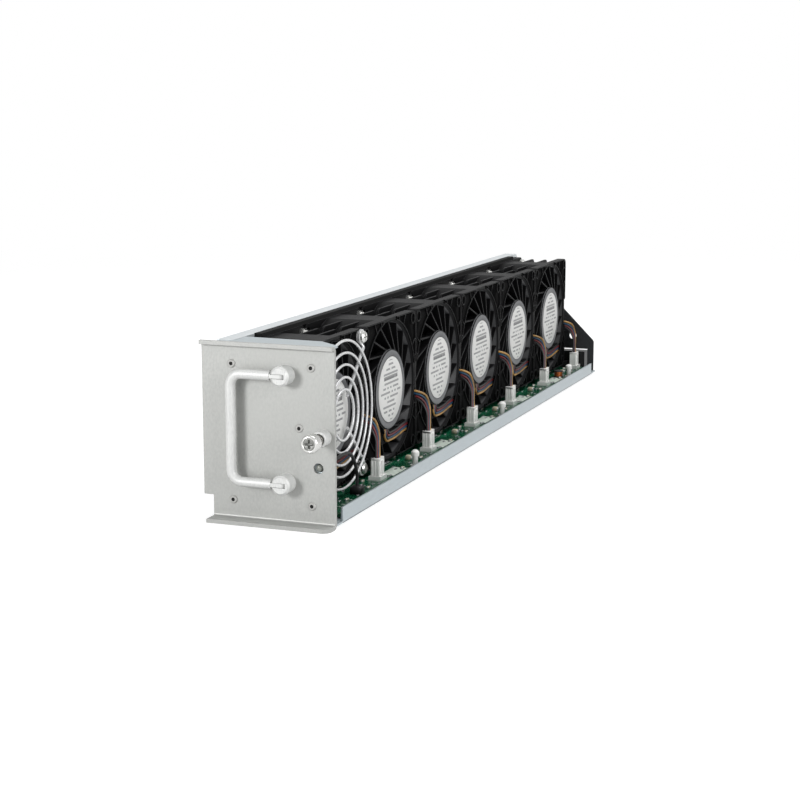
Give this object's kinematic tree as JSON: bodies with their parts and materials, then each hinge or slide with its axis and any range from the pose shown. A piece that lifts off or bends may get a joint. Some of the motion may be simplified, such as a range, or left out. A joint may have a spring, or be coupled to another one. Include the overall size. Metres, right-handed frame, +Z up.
{
  "type": "fan tray",
  "caption": "Long sheet-metal fan tray: a row of axial fans on a bent wall, a control board with plugged leads, a folding pull handle and captive screw in front, a connector at the rear.",
  "frame": {"origin": "under the middle of the tray: the centre of the bounding box, at the height of the panel's foot", "axes": "+Y from the front panel to the rear connector, +Z up, +X to the right as seen from the front"},
  "size_m": [0.0714, 0.533, 0.0909],
  "materials": {
    "panel_steel": "brushed satin plating, warm light grey",
    "zinc_steel": "zinc-plated sheet, light blue-grey",
    "bright_steel": "bright plated",
    "handle_steel": "bright satin plating",
    "guard_wire": "bright plated wire",
    "spring_steel": "drawn wire",
    "magnet_steel": "dull",
    "copper_winding": "enamelled wire on laminations",
    "brass_contact": "gold-coloured plating",
    "fan_plastic": "black, fine texture",
    "black_plastic": "black",
    "black_foam": "closed-cell foam",
    "label_paper": "printed film, left blank",
    "white_nylon": "natural nylon",
    "green_board": "dark green solder mask",
    "board_component": "small moulded components",
    "dark_paint": "dark grey powder coat",
    "lamp_lens": "clear lens, unlit",
    "black_sleeve": "soft cable sheath",
    "black_insulation": "lead insulation",
    "red_insulation": "lead insulation",
    "blue_insulation": "lead insulation",
    "yellow_insulation": "lead insulation"
  },
  "bodies": {
    "tray": {"front_panel": "panel_steel", "front_bulkhead": "zinc_steel", "base_tray": "zinc_steel", "rivets": "bright_steel", "fan_wall": "zinc_steel", "wall_gasket": "black_foam", "fan_screws": "bright_steel", "fan_nuts": "bright_steel", "fan_guides": "fan_plastic", "fan_labels": "label_paper", "fan_bearings": "bright_steel", "fan_stators": "copper_winding", "finger_guard": "guard_wire", "guard_screws": "bright_steel", "handle_posts": "handle_steel", "handle_pins": "bright_steel", "captive_ferrule": "handle_steel", "captive_spring": "spring_steel", "status_lamp": "lamp_lens", "lamp_cable": "black_sleeve", "circuit_board": "green_board", "board_supports": "white_nylon", "board_screws": "bright_steel", "plug_headers": "white_nylon", "lead_plugs": "white_nylon", "board_parts": "board_component", "rear_plate": "dark_paint", "rear_connector": "black_plastic", "connector_contacts": "brass_contact", "leads_black": "black_insulation", "leads_red": "red_insulation", "leads_blue": "blue_insulation", "leads_yellow": "yellow_insulation", "fan_frame_1": "fan_plastic", "fan_frame_2": "fan_plastic", "fan_frame_3": "fan_plastic", "fan_frame_4": "fan_plastic", "fan_frame_5": "fan_plastic", "fan_frame_6": "fan_plastic"},
    "fan_1": {"fan_impeller_1": "fan_plastic", "fan_shaft_1": "bright_steel", "fan_magnet_1": "magnet_steel"},
    "fan_2": {"fan_impeller_2": "fan_plastic", "fan_shaft_2": "bright_steel", "fan_magnet_2": "magnet_steel"},
    "fan_3": {"fan_impeller_3": "fan_plastic", "fan_shaft_3": "bright_steel", "fan_magnet_3": "magnet_steel"},
    "fan_4": {"fan_impeller_4": "fan_plastic", "fan_shaft_4": "bright_steel", "fan_magnet_4": "magnet_steel"},
    "fan_5": {"fan_impeller_5": "fan_plastic", "fan_shaft_5": "bright_steel", "fan_magnet_5": "magnet_steel"},
    "fan_6": {"fan_impeller_6": "fan_plastic", "fan_shaft_6": "bright_steel", "fan_magnet_6": "magnet_steel"},
    "handle": {"handle_bail": "handle_steel"},
    "screw_washer": {"captive_washer": "bright_steel"},
    "screw": {"captive_screw": "bright_steel"}
  },
  "joints": [
    {"name": "fan_1_spin", "type": "hinge", "parent": "tray", "child": "fan_1", "pos_m": [-0.0056, -0.1971, 0.0474], "axis": [1, 0, 0], "continuous": true},
    {"name": "fan_2_spin", "type": "hinge", "parent": "tray", "child": "fan_2", "pos_m": [-0.0056, -0.1161, 0.0474], "axis": [1, 0, 0], "continuous": true},
    {"name": "fan_3_spin", "type": "hinge", "parent": "tray", "child": "fan_3", "pos_m": [-0.0056, -0.0351, 0.0474], "axis": [1, 0, 0], "continuous": true},
    {"name": "fan_4_spin", "type": "hinge", "parent": "tray", "child": "fan_4", "pos_m": [-0.0056, 0.0459, 0.0474], "axis": [1, 0, 0], "continuous": true},
    {"name": "fan_5_spin", "type": "hinge", "parent": "tray", "child": "fan_5", "pos_m": [-0.0056, 0.1269, 0.0474], "axis": [1, 0, 0], "continuous": true},
    {"name": "fan_6_spin", "type": "hinge", "parent": "tray", "child": "fan_6", "pos_m": [-0.0056, 0.2079, 0.0474], "axis": [1, 0, 0], "continuous": true},
    {"name": "handle_fold", "type": "hinge", "parent": "tray", "child": "handle", "pos_m": [0.0098, -0.2533, 0.04885], "axis": [0, 0, 1], "range_deg": [0, 90]},
    {"name": "screw_push", "type": "slide", "parent": "tray", "child": "screw_washer", "axis": [0, 1, 0], "range_m": [0, 0.004], "stiffness_N_per_m": 500, "springref_m": -0.004, "deforming": ["captive_spring"]},
    {"name": "screw_turn", "type": "hinge", "parent": "screw_washer", "child": "screw", "pos_m": [0.03, -0.2477, 0.046], "axis": [0, 1, 0], "continuous": true}
  ]
}
